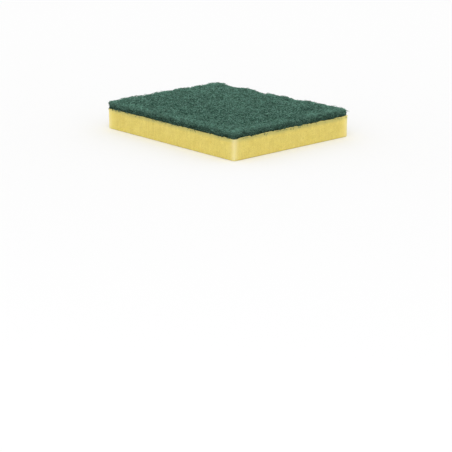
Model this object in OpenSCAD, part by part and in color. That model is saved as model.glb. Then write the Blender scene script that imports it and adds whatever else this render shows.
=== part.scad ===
// Laminated cleaning sponge: a block of soft foam with a scouring web bonded over its top face.
// Millimetres, +Z up. The origin is under the middle of the foam, on the surface it lies on.

/* [Foam block] */
// Length of the sponge, along X
sponge_l = 111.5; // [90:0.5:140]
// Width of the sponge, along Y
sponge_w = 90; // [60:1:100]
// Thickness of the foam
foam_t = 12; // [8:0.5:30]
// Radius of the foam's four upright corners
foam_corner_r = 1; // [0.8:0.1:4]
// Radius of the foam's soft lower edges
foam_edge_r = 0.6; // [0.2:0.1:1.5]

/* [Scouring pad] */
// Mean thickness of the web along its cut edges
pad_edge_t = 4.25; // [3:0.05:8]
// Rise of the web from its pinched edges to its middle
pad_loft = 0.7; // [0:0.1:2]
// Distance in from the cut edge at which the web reaches its full loft
loft_run = 30; // [10:1:40]
// Distance from the foam's sides in to the web's cut edges
pad_inset = 0.3; // [0.1:0.1:0.6]
// Radius of the soft shoulder where the web's top turns down to its cut edge
shoulder_r = 2; // [0.5:0.1:3]
// Depth of the hollow halfway up the cut edge, left by the blade that squeezed the web
notch_depth = 0.9; // [0:0.1:1.2]
// Unevenness of the cut edge
fray = 0.22; // [0:0.02:0.3]

/* [Web surface] */
// Height of the broad swells that lift or thin one side of the web
swell_h = 0.6; // [0:0.05:0.8]
// Spacing of the broad swells
swell_pitch = 46; // [25:1:60]
// Number that picks the random pattern of the broad swells
swell_seed = 17067; // [1:1:50000]
// Height of the puckers that make the top wavy
pucker_h = 0.8; // [0:0.05:0.8]
// Spacing of the puckers
pucker_pitch = 10; // [7:0.5:20]
// Number that picks the random pattern of the puckers
pucker_seed = 39760; // [1:1:50000]
// Height of the small tufts of fibre
tuft_h = 0.4; // [0:0.05:0.5]
// Spacing of the small tufts
tuft_pitch = 5.4; // [4:0.2:8]
// Number that picks the random pattern of the small tufts
tuft_seed = 11609; // [1:1:50000]
// Spacing of the mesh lines across the web
mesh_step = 1.9; // [1.8:0.1:4]

/* [Hidden] */

foam_colour = [0.87, 0.79, 0.42];
pad_colour = [0.27, 0.39, 0.34];

// How finely round corners are drawn
arc_fn = 48;

// The web's own outline
pad_l = sponge_l - 2 * pad_inset;
pad_w = sponge_w - 2 * pad_inset;
pad_corner_r = foam_corner_r - pad_inset;

// Mesh lines over the shoulder, as shares of its radius in from the edge
RIM_SHARES = [0, 0.12, 0.35, 0.65];

// Bands that the cut edge is divided into, from its top down to the foam
side_bands = 4;

// The three layers of relief: spacing, height and random pattern
SWELLS = [swell_pitch, swell_h, swell_seed];
PUCKERS = [pucker_pitch, pucker_h, pucker_seed];
TUFTS = [tuft_pitch, tuft_h, tuft_seed];

// Knots past the far edges of the web, so that every point lies between two
spare_knots = 2;

// Step between the random numbers of neighbouring columns of knots
column_seed_step = 31;

// A value between a and b, and the same with soft ends
function mix(a, b, t) = a + (b - a) * t;
function ease(t) = t * t * (3 - 2 * t);

// Random knots between -1 and 1, one for each crossing of a net that covers the web
function knots(layer) =
    let (columns = ceil(pad_l / layer[0]) + spare_knots)
    let (rows = ceil(pad_w / layer[0]) + spare_knots)
    [for (i = [1:columns]) rands(-1, 1, rows, layer[2] + column_seed_step * (i - 1))];

// Height of one layer of relief over a point, smooth between the knots
function relief(layer, net, x, y) =
    let (u = (x + pad_l / 2) / layer[0])
    let (v = (y + pad_w / 2) / layer[0])
    let (i = floor(u))
    let (j = floor(v))
    let (near_row = mix(net[i][j], net[i + 1][j], ease(u - i)))
    let (far_row = mix(net[i][j + 1], net[i + 1][j + 1], ease(u - i)))
    layer[1] * mix(near_row, far_row, ease(v - j));

// Mesh lines across one direction: close together at the rims, even between them
function mesh_lines(length) =
    let (inner = length - 2 * shoulder_r)
    let (cells = ceil(inner / mesh_step))
    concat(
        [for (s = RIM_SHARES) -length / 2 + s * shoulder_r],
        [for (k = [0:cells]) -inner / 2 + k * inner / cells],
        [for (k = [len(RIM_SHARES) - 1:-1:0]) length / 2 - RIM_SHARES[k] * shoulder_r]
    );

// How far a coordinate reaches into the zone of a rounded corner
function past_corner(coord, length) = max(0, abs(coord) - length / 2 + pad_corner_r);

// A mesh crossing drawn in from the square corner on to the rounded one
function rounded(x, y) =
    let (cx = past_corner(x, pad_l))
    let (cy = past_corner(y, pad_w))
    let (pull = cx > 0 && cy > 0 ? 1 - max(cx, cy) / norm([cx, cy]) : 0)
    [x - sign(x) * cx * pull, y - sign(y) * cy * pull];

// Distance from a mesh crossing to the cut edge
function edge_distance(x, y) = min(pad_l / 2 - abs(x), pad_w / 2 - abs(y));

// Drop of the quarter-round shoulder at a distance from the cut edge, tighter where the web is thin
function shoulder_drop(d, height) =
    let (r = min(shoulder_r, height / 2))
    d >= r ? 0 : r - sqrt(r ^ 2 - (r - d) ^ 2);

// Rise of the loft at a distance from the cut edge
function loft(d) = pad_loft * sin(90 * min(1, d / loft_run));

// The web: a net of points over the top, bands down the cut edge and one flat face on the foam
module web_solid() {
    swell_net = knots(SWELLS);
    pucker_net = knots(PUCKERS);
    tuft_net = knots(TUFTS);
    xs = mesh_lines(pad_l);
    ys = mesh_lines(pad_w);
    nx = len(xs) - 1;
    ny = len(ys) - 1;

    top = [for (x = xs) for (y = ys)
        let (d = edge_distance(x, y))
        let (waves = relief(SWELLS, swell_net, x, y) + relief(PUCKERS, pucker_net, x, y))
        let (height = pad_edge_t + loft(d) + waves + relief(TUFTS, tuft_net, x, y))
        let (p = rounded(x, y))
        [p.x, p.y, foam_t + height - shoulder_drop(d, height)]];

    // Places of the points along the cut edge, anticlockwise from above
    rim = concat(
        [for (i = [0:nx - 1]) i * (ny + 1)],
        [for (j = [0:ny - 1]) nx * (ny + 1) + j],
        [for (i = [nx:-1:1]) i * (ny + 1) + ny],
        [for (j = [ny:-1:1]) j]
    );
    rim_count = len(rim);

    // Bands down the cut edge, hollow halfway down, and the more so where the web is thick
    side = [for (band = [1:side_bands])
        let (down = band / side_bands)
        let (unevenness = rands(0, fray, rim_count, tuft_seed + band))
        for (k = [0:rim_count - 1])
            let (p = top[rim[k]])
            let (hollow = notch_depth * (p.z - foam_t) / pad_edge_t)
            let (in = hollow * sin(180 * down) + unevenness[k])
            [p.x * (1 - 2 * in / pad_l), p.y * (1 - 2 * in / pad_w), mix(p.z, foam_t, down)]];

    first = len(top);
    function band_point(band, k) =
        band == 0 ? rim[k % rim_count] : first + (band - 1) * rim_count + k % rim_count;

    top_faces = [for (i = [0:nx - 1]) for (j = [0:ny - 1])
        let (a = i * (ny + 1) + j)
        let (b = a + ny + 1)
        each [[a, a + 1, b + 1], [a, b + 1, b]]];

    side_faces = [for (band = [0:side_bands - 1]) for (k = [0:rim_count - 1])
        let (a = band_point(band, k))
        let (b = band_point(band, k + 1))
        let (c = band_point(band + 1, k + 1))
        let (d = band_point(band + 1, k))
        each [[a, b, c], [a, c, d]]];

    bottom_face = [for (k = [0:rim_count - 1]) band_point(side_bands, k)];

    polyhedron(concat(top, side), concat(top_faces, side_faces, [bottom_face]), convexity = 6);
}

// Rectangle with round corners, centred
module rounded_outline(length, width, r) {
    square([length - 2 * r, width], center = true);
    square([length, width - 2 * r], center = true);
    for (x = [-1, 1]) for (y = [-1, 1])
        translate([x * (length / 2 - r), y * (width / 2 - r)]) circle(r, $fn = arc_fn);
}

// Upright section of the foam: square at the bond, soft at the lower edges
module foam_section(width) {
    translate([-width / 2, foam_edge_r]) square([width, foam_t - foam_edge_r]);
    translate([-width / 2 + foam_edge_r, 0]) square([width - 2 * foam_edge_r, foam_t]);
    for (side = [-1, 1])
        translate([side * (width / 2 - foam_edge_r), foam_edge_r]) circle(foam_edge_r, $fn = arc_fn);
}

module foam_block() {
    color(foam_colour)
        intersection() {
            linear_extrude(foam_t) rounded_outline(sponge_l, sponge_w, foam_corner_r);
            rotate([90, 0, 0])
                linear_extrude(sponge_w, center = true) foam_section(sponge_l);
            rotate([90, 0, 90])
                linear_extrude(sponge_l, center = true) foam_section(sponge_w);
        }
}

module scouring_pad() {
    color(pad_colour) web_solid();
}

foam_block();
scouring_pad();
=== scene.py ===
"""Looks of a laminated cleaning sponge: yellow foam with a dark green scouring web bonded on top.

The web is a core coloured dark as painted shade of its deep inside, under many thousands of crimped strands,
laid over the surface that the CAD solid gives, tangled on top, cut off at the edges and frayed where the
blade went through.
"""

import functools
import logging
import math
from collections.abc import Callable
from dataclasses import dataclass, field
from enum import Enum
from typing import ClassVar

import bpy
import numpy as np
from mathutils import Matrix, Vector
from mathutils.bvhtree import BVHTree
from mathutils.geometry import delaunay_2d_cdt


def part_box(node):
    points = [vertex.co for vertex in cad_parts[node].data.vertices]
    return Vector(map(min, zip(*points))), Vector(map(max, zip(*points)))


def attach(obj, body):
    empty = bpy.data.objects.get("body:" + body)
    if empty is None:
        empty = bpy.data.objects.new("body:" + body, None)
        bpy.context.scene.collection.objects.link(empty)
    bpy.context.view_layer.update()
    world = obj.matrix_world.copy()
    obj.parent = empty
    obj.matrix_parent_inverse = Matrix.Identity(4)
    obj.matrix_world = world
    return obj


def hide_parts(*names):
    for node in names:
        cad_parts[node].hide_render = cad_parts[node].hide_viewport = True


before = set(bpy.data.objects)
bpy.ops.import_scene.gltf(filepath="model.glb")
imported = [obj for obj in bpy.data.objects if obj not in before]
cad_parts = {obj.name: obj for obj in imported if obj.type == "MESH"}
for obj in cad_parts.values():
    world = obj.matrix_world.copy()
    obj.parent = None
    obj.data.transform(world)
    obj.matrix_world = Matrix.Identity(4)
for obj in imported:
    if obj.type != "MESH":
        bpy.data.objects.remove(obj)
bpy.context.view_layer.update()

BODY = "root"
FOAM_NODE = "foam_block"
WEB_NODE = "scouring_pad"
MM = 0.001
FOAM_CORNER = 1.0 * MM  # radius of the foam's upright corners, as in the CAD source
TINY = 1e-9  # least length that is divided by
LAST_CELL = 1.001  # knots from a grid's end that keep a place inside its last cell
SHADE = "shade"  # the mesh attribute that holds each strand's shade: its own tone, with painted light and shade added

log = logging.getLogger("sponge")

Array = np.ndarray
Colour = tuple[float, float, float]
Place = tuple[float, float, float]
Span = tuple[float, float]
Socket = bpy.types.NodeSocket
Value = float | Socket
ColourValue = tuple[float, ...] | Socket


def ease(t: Array) -> Array:
    """Values from 0 to 1 with soft ends."""
    return t * t * (3 - 2 * t)


def nearness(distance: Array, reach: float) -> Array:
    """1 at no distance and 0 from the reach on, with soft ends."""
    return ease(np.clip(1 - distance / reach, 0, 1))


def unit(vectors: Array) -> Array:
    """Vectors drawn to a length of one."""
    return vectors / np.maximum(np.linalg.norm(vectors, axis=-1, keepdims=True), TINY)


def crossings(axes: list[Array]) -> Array:
    """Every crossing of the lines of two axes, as a grid of points."""
    return np.stack(np.meshgrid(*axes, indexing="ij"), -1)


def with_height(flat: Array, height: Array) -> Array:
    """Points of the plane, each with its height."""
    return np.concatenate([flat, height[..., None]], -1)


def grid_value(grid: Array, u: Array, v: Array) -> Array:
    """Reads a grid between its knots.

    Args:
        grid: values on a grid of two axes.
        u: places along the first axis, in knots.
        v: places along the second axis, in knots.

    Returns:
        One value for each place.
    """
    u = np.clip(u, 0, grid.shape[0] - LAST_CELL)
    v = np.clip(v, 0, grid.shape[1] - LAST_CELL)
    i, j = u.astype(int), v.astype(int)
    a, b = u - i, v - j
    near = grid[i, j] * (1 - a) + grid[i + 1, j] * a
    far = grid[i, j + 1] * (1 - a) + grid[i + 1, j + 1] * a
    return near * (1 - b) + far * b


def put_in_scene(name: str, data: bpy.types.ID) -> bpy.types.Object:
    """Makes an object of a mesh, a lamp or a camera and links it to the scene.

    Args:
        name: the object's name.
        data: what it shows.

    Returns:
        The object.
    """
    made = bpy.data.objects.new(name, data)
    bpy.context.scene.collection.objects.link(made)
    return made


def keep_shade(mesh: bpy.types.Mesh, shades: Array | None = None) -> None:
    """Keeps a shade for each point of a mesh, which its material reads.

    Args:
        mesh: the mesh.
        shades: shades from 0 to 1, or None for 0 all over.
    """
    layer = mesh.attributes.new(SHADE, "FLOAT", "POINT")
    if shades is not None:
        layer.data.foreach_set("value", shades.astype(np.float32))


@dataclass(frozen=True)
class Relief:
    """Smooth random heights over a plane.

    Args:
        spacing: distance between the random knots.
        height: greatest height above and below zero.
        seed: number that picks the pattern.
        knots: knots along each axis, after which the pattern repeats.
    """

    spacing: float
    height: float
    seed: int
    knots: int = 131

    def at(self, u: Array, v: Array) -> Array:
        """Reads the heights at places in the plane.

        Args:
            u: places along the first axis.
            v: places along the second axis.

        Returns:
            The heights, in the unit of the relief's own height.
        """
        rng = np.random.default_rng(self.seed)
        net = rng.uniform(-1, 1, (self.knots, self.knots))
        a, b = u / self.spacing, v / self.spacing
        i, j = np.floor(a).astype(int), np.floor(b).astype(int)
        s, t = ease(a - i), ease(b - j)
        i, j, k, m = (x % self.knots for x in (i, j, i + 1, j + 1))
        near = net[i, j] * (1 - s) + net[k, j] * s
        far = net[i, m] * (1 - s) + net[k, m] * s
        return self.height * (near * (1 - t) + far * t)


@dataclass(frozen=True)
class RoundedOutline:
    """A rectangle with round corners, centred on the Z axis.

    Args:
        half_length: half its length, along X.
        half_width: half its width, along Y.
        radius: radius of its corners.
        arc_steps: straight steps round each corner.
    """

    half_length: float
    half_width: float
    radius: float
    arc_steps: int = 12

    @property
    def half(self) -> Array:
        """Half the length and half the width."""
        return np.array([self.half_length, self.half_width])

    @property
    def core(self) -> Array:
        """Half sizes of the rectangle that the corner radius is drawn around."""
        return self.half - self.radius

    def corner(self, sides: tuple[int, int]) -> Array:
        """A corner of the full rectangle, by the signs of its x and y."""
        return np.array(sides) * self.half

    def depth(self, points: Array) -> Array:
        """Measures how far points lie inside the outline.

        Args:
            points: points of the plane.

        Returns:
            The distances, negative outside the outline.
        """
        past = np.abs(points) - self.core
        outside = np.linalg.norm(np.maximum(past, 0), axis=-1)
        return self.radius - outside - np.minimum(past.max(axis=-1), 0)

    def pulled_in(self, points: Array, margin: float) -> Array:
        """Moves points, where they must be, to lie inside the outline.

        Args:
            points: points of the plane.
            margin: how far inside they lie at least.

        Returns:
            The moved points.
        """
        centre = np.clip(points, -self.core, self.core)
        reach = points - centre
        length = np.linalg.norm(reach, axis=-1, keepdims=True)
        return centre + reach * np.minimum(1, (self.radius - margin) / np.maximum(length, TINY))

    def rounded(self, points: Array) -> Array:
        """Draws the corners of the full rectangle in on to the round ones.

        Args:
            points: points of the full rectangle.

        Returns:
            The points, all within the outline.
        """
        past = np.maximum(np.abs(points) - self.core, 0)
        length = np.maximum(np.linalg.norm(past, axis=-1), TINY)
        pull = np.where(past.min(axis=-1) > 0, 1 - past.max(axis=-1) / length, 0)
        return points - np.sign(points) * past * pull[..., None]

    def walk(self, distances: Array) -> tuple[Array, Array]:
        """Follows the outline anticlockwise, starting at the end of the front side.

        Args:
            distances: places along the outline, taken round again past its end.

        Returns:
            The points there, and the outward normals.
        """
        points, normals, along = self._corners()
        at = np.mod(distances, along[-1])
        spread = [np.interp(at, along, x) for x in (*points.T, *normals.T)]
        return np.stack(spread[:2], -1), unit(np.stack(spread[2:], -1))

    def perimeter(self) -> float:
        """Length of the outline."""
        return float(self._corners()[2][-1])

    def _corners(self) -> tuple[Array, Array, Array]:
        """Draws the four round corners.

        Returns:
            Their points, the normals there, and the distance along the outline to each.
        """
        normals = []
        points = []
        for turn, side in enumerate(((1, -1), (1, 1), (-1, 1), (-1, -1))):
            angles = np.pi / 2 * (turn - 1 + np.linspace(0, 1, self.arc_steps + 1))
            normal = np.stack([np.cos(angles), np.sin(angles)], -1)
            normals.append(normal)
            points.append(self.core * side + self.radius * normal)
        points = np.concatenate([*points, points[0][:1]])
        normals = np.concatenate([*normals, normals[0][:1]])
        steps = np.linalg.norm(np.diff(points, axis=0), axis=1)
        return points, normals, np.concatenate([[0], np.cumsum(steps)])


class MeshDraft:
    """Vertices and faces of one mesh, gathered part by part."""

    def __init__(self) -> None:
        """Starts with nothing."""
        self.points: list[Array] = []
        self.faces: list[Array] = []
        self.count = 0

    def add_points(self, points: Array) -> int:
        """Adds points.

        Args:
            points: x, y and z on the last axis.

        Returns:
            The place of the first.
        """
        first = self.count
        self.points.append(points.reshape(-1, 3))
        self.count += len(self.points[-1])
        return first

    def add_faces(self, faces: Array) -> None:
        """Adds faces of one size, as rows of places."""
        self.faces.append(faces)

    def add_net(self, rows: Array, closed: bool) -> Array:
        """Adds a net of points and the quads between them.

        Args:
            rows: points in rows, with axes row, column and coordinate.
            closed: whether each row runs round to its start.

        Returns:
            The places of the points, row by row.
        """
        places = self.add_points(rows) + np.arange(rows.shape[0] * rows.shape[1])
        places = places.reshape(rows.shape[:2])
        self.join(places, closed)
        return places

    def join(self, places: Array, closed: bool) -> None:
        """Adds the quads between rows of points that are already there.

        Args:
            places: the points' places, row by row.
            closed: whether each row runs round to its start.
        """
        ahead = np.roll(places, -1, axis=1)
        if not closed:
            places, ahead = places[:, :-1], ahead[:, :-1]
        quads = [places[:-1], ahead[:-1], ahead[1:], places[1:]]
        self.add_faces(np.stack(quads, -1).reshape(-1, 4))

    def cap(self, ring: Array, pitch: float, upward: bool) -> Array:
        """Closes a level ring with triangles on points a pitch apart.

        Args:
            ring: places of the ring's points, anticlockwise from above.
            pitch: spacing of the points inside it.
            upward: whether the face looks up.

        Returns:
            The places of the points inside the ring.
        """
        rim = np.concatenate(self.points)[ring]
        half = np.abs(rim[:, :2]).max(axis=0) - pitch / 2
        axes = [np.linspace(-h, h, max(2, round(2 * h / pitch))) for h in half]
        inner = crossings(axes).reshape(-1, 2)
        soft = RoundedOutline(*(half + pitch / 2), radius=2 * pitch)
        inner = inner[soft.depth(inner) > pitch / 3]
        flat = [Vector(p) for p in np.concatenate([rim[:, :2], inner])]
        loop = [(k, (k + 1) % len(ring)) for k in range(len(ring))]
        _, _, triangles, kept, _, _ = delaunay_2d_cdt(flat, loop, [], 1, TINY)
        first = self.add_points(with_height(inner, np.full(len(inner), rim[0, 2])))
        places = np.concatenate([ring, first + np.arange(len(inner))])
        source = np.array([k[0] for k in kept])
        faces = places[source[np.array(triangles)]]
        self.add_faces(faces if upward else faces[:, ::-1])
        return places[len(ring):]

    def vertices(self) -> Array:
        """All points as one array, which replaces the parts."""
        self.points = [np.concatenate(self.points)]
        return self.points[0]

    def build(self, name: str) -> bpy.types.Object:
        """Makes the object, smooth shaded.

        Args:
            name: the piece's name.

        Returns:
            The object, linked to the scene.
        """
        mesh = bpy.data.meshes.new(name)
        points = self.vertices().astype(np.float32)
        mesh.vertices.add(len(points))
        mesh.vertices.foreach_set("co", points.ravel())
        sizes = np.concatenate([np.full(len(f), f.shape[1]) for f in self.faces])
        corners = np.concatenate([f.ravel() for f in self.faces])
        mesh.loops.add(len(corners))
        mesh.loops.foreach_set("vertex_index", corners.astype(np.int32))
        mesh.polygons.add(len(sizes))
        starts = np.concatenate([[0], np.cumsum(sizes)[:-1]])
        mesh.polygons.foreach_set("loop_start", starts.astype(np.int32))
        mesh.update(calc_edges=True)
        mesh.validate()
        mesh.shade_smooth()
        return put_in_scene(name, mesh)


class NodeSheet:
    """A shader node tree that is written by short calls."""

    def __init__(self, tree: bpy.types.NodeTree) -> None:
        """Takes the tree to write on."""
        self.tree = tree

    def fill(self, node: bpy.types.Node, inputs: dict) -> None:
        """Gives a node its inputs.

        Args:
            node: the node.
            inputs: what its inputs get, by name or place; a socket is linked, a value is set.
        """
        for name, value in inputs.items():
            if isinstance(value, Socket):
                self.tree.links.new(value, node.inputs[name])
            else:
                node.inputs[name].default_value = value

    def node(self, kind: str, inputs: dict | None = None, **settings: object) -> bpy.types.Node:
        """Makes a node.

        Args:
            kind: Blender's name of the node's type.
            inputs: what its inputs get, as in fill.
            settings: the node's own properties.

        Returns:
            The node.
        """
        made = self.tree.nodes.new(kind)
        for name, value in settings.items():
            setattr(made, name, value)
        self.fill(made, inputs or {})
        return made

    def effect(self, tree: bpy.types.NodeTree, inputs: dict) -> bpy.types.bpy_prop_collection:
        """Places a shared effect with a material's own values and returns its output sockets."""
        return self.node("ShaderNodeGroup", inputs, node_tree=tree).outputs

    def math(self, operation: str, *values: Value) -> Socket:
        """Does one sum on numbers or sockets and returns its socket."""
        return self.node("ShaderNodeMath", dict(enumerate(values)), operation=operation).outputs[0]

    def vector(self, operation: str, first: object, second: object) -> Socket:
        """Does one sum on two vectors and returns its socket."""
        return self.node("ShaderNodeVectorMath", {0: first, 1: second}, operation=operation).outputs[0]

    def ramp(self, value: Value, low: Value, high: Value, start: float = 0.0, end: float = 1.0) -> Socket:
        """Maps low and high to start and end, softly and level past them, and returns its socket."""
        inputs = {"Value": value, "From Min": low, "From Max": high, "To Min": start, "To Max": end}
        return self.node("ShaderNodeMapRange", inputs, interpolation_type="SMOOTHSTEP").outputs["Result"]

    def blend(self, share: Value, first: ColourValue, second: ColourValue) -> Socket:
        """Mixes two colours.

        Args:
            share: how much of the second there is, from 0 to 1.
            first: the first colour.
            second: the second colour.

        Returns:
            The colour's socket.
        """
        made = self.node("ShaderNodeMix", data_type="RGBA")
        given = {"Factor": share, "A": first, "B": second}
        for place, socket in enumerate(made.inputs):
            if socket.enabled:
                self.fill(made, {place: given[socket.name]})
        return next(s for s in made.outputs if s.enabled)

    def place(self) -> Socket:
        """Place on the piece in the row frame, in metres."""
        return self.node("ShaderNodeTexCoord").outputs["Object"]

    def coordinates(self) -> bpy.types.bpy_prop_collection:
        """Sockets of the place's X, Y and Z."""
        return self.node("ShaderNodeSeparateXYZ", {0: self.place()}).outputs


class Effects:
    """The shader effects that several finishes share, each a node group that is built once."""

    PATCH_DETAIL: ClassVar[float] = 2.5  # how ragged the patches' edges are
    PORE_WANDER: ClassVar[float] = 0.7  # how far the cells are bent out of line, in cells
    PORE_GRAIN: ClassVar[float] = 0.35  # height of the grain between the walls, in walls
    GLOW_TO_CORNER: ClassVar[float] = 2.2  # reach of the broad mask, in reaches of the narrow one

    @staticmethod
    def _group(
        name: str, inputs: dict[str, str], outputs: dict[str, str]
    ) -> tuple[NodeSheet, dict[str, Socket], bpy.types.Node]:
        """Starts a node group.

        Args:
            name: the group's name.
            inputs: kinds of its inputs, by name.
            outputs: kinds of its outputs, by name.

        Returns:
            The sheet, its input sockets by name, and its output node.
        """
        tree = bpy.data.node_groups.new(name, "ShaderNodeTree")
        for side, sockets in (("INPUT", inputs), ("OUTPUT", outputs)):
            for socket, kind in sockets.items():
                tree.interface.new_socket(socket, in_out=side, socket_type=f"NodeSocket{kind}")
        sheet = NodeSheet(tree)
        given = sheet.node("NodeGroupInput").outputs
        return sheet, {socket: given[socket] for socket in inputs}, sheet.node("NodeGroupOutput")

    @classmethod
    @functools.cache
    def patches(cls) -> bpy.types.NodeTree:
        """Soft patches of a second colour, as in uneven dye and thick and thin tufts.

        Returns:
            The group, which puts out the colour and the patches' mask.
        """
        inputs = {"Colour": "Color", "Patch Colour": "Color", "Patch Size": "Float",
                  "Amount": "Float", "Sharpness": "Float"}
        sheet, given, out = cls._group("tonal_patches", inputs, {"Colour": "Color", "Mask": "Float"})
        scale = sheet.math("DIVIDE", 1.0, given["Patch Size"])
        noise = {"Vector": sheet.place(), "Scale": scale, "Detail": cls.PATCH_DETAIL}
        noise = sheet.node("ShaderNodeTexNoise", noise).outputs[0]
        half = sheet.math("MULTIPLY", 0.5, sheet.math("SUBTRACT", 1.0, given["Sharpness"]))
        soft = sheet.ramp(noise, sheet.math("SUBTRACT", 0.5, half), sheet.math("ADD", 0.5, half))
        mask = sheet.math("MULTIPLY", soft, given["Amount"])
        colour = sheet.blend(mask, given["Colour"], given["Patch Colour"])
        sheet.fill(out, {"Colour": colour, "Mask": mask})
        return sheet.tree

    @classmethod
    @functools.cache
    def pores(cls) -> bpy.types.NodeTree:
        """Fine cells with thin walls, as in cut foam and gritty resin.

        Returns:
            The group, which puts out the walls' mask and a height for bumps.
        """
        inputs = {"Cell Size": "Float", "Wall": "Float"}
        sheet, given, out = cls._group("open_pores", inputs, {"Walls": "Float", "Height": "Float"})
        scale = sheet.math("DIVIDE", 1.0, given["Cell Size"])
        place = sheet.place()
        wander = sheet.node("ShaderNodeTexNoise", {"Vector": place, "Scale": scale, "Detail": 1.0}).outputs
        shift = sheet.vector("SUBTRACT", wander["Color"], (0.5, 0.5, 0.5))
        size = sheet.math("MULTIPLY", cls.PORE_WANDER, given["Cell Size"])
        moved = sheet.node("ShaderNodeVectorMath", {0: shift, "Scale": size}, operation="SCALE")
        bent = {"Vector": sheet.vector("ADD", place, moved.outputs[0]), "Scale": scale}
        cells = sheet.node("ShaderNodeTexVoronoi", bent, feature="DISTANCE_TO_EDGE")
        walls = sheet.ramp(cells.outputs["Distance"], 0.0, given["Wall"], 1.0, 0.0)
        grain = sheet.math("MULTIPLY", cls.PORE_GRAIN, wander[0])
        sheet.fill(out, {"Walls": walls, "Height": sheet.math("ADD", walls, grain)})
        return sheet.tree

    @classmethod
    @functools.cache
    def reach(cls) -> bpy.types.NodeTree:
        """How near a place is to the block's upright corners, for the foam's painted glow and painted pale
        corner highlights.

        Returns:
            The group, which puts out a narrow mask and a broad one.
        """
        inputs = {"Half Length": "Float", "Half Width": "Float", "Reach": "Float"}
        sheet, given, out = cls._group("corner_highlight_reach", inputs, {"Corner": "Float", "Glow": "Float"})
        place = sheet.coordinates()
        gaps = [
            sheet.math("SUBTRACT", given[half], sheet.math("ABSOLUTE", place[axis]))
            for axis, half in (("X", "Half Length"), ("Y", "Half Width"))
        ]
        squares = [sheet.math("MULTIPLY", gap, gap) for gap in gaps]
        away = sheet.math("SQRT", sheet.math("ADD", *squares))
        broad = sheet.math("MULTIPLY", cls.GLOW_TO_CORNER, given["Reach"])
        sheet.fill(out, {"Corner": sheet.ramp(away, 0.0, given["Reach"], 1.0, 0.0),
                         "Glow": sheet.ramp(away, 0.0, broad, 1.0, 0.0)})
        return sheet.tree


def rgba(colour: Colour) -> tuple[float, float, float, float]:
    """A colour with full alpha."""
    return (*colour, 1.0)


@dataclass(frozen=True)
class Finish:
    """What every finish has: a name and a way to start its material.

    Args:
        name: the material's name.
    """

    name: str

    def start(self) -> tuple[bpy.types.Material, NodeSheet, bpy.types.Node]:
        """Makes the material with a Principled shader on its output.

        Returns:
            The material, its sheet and the shader.
        """
        made = bpy.data.materials.new(self.name)
        made.use_nodes = True
        made.node_tree.nodes.clear()
        sheet = NodeSheet(made.node_tree)
        shader = sheet.node("ShaderNodeBsdfPrincipled")
        sheet.node("ShaderNodeOutputMaterial", {"Surface": shader.outputs[0]})
        return made, sheet, shader


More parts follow.
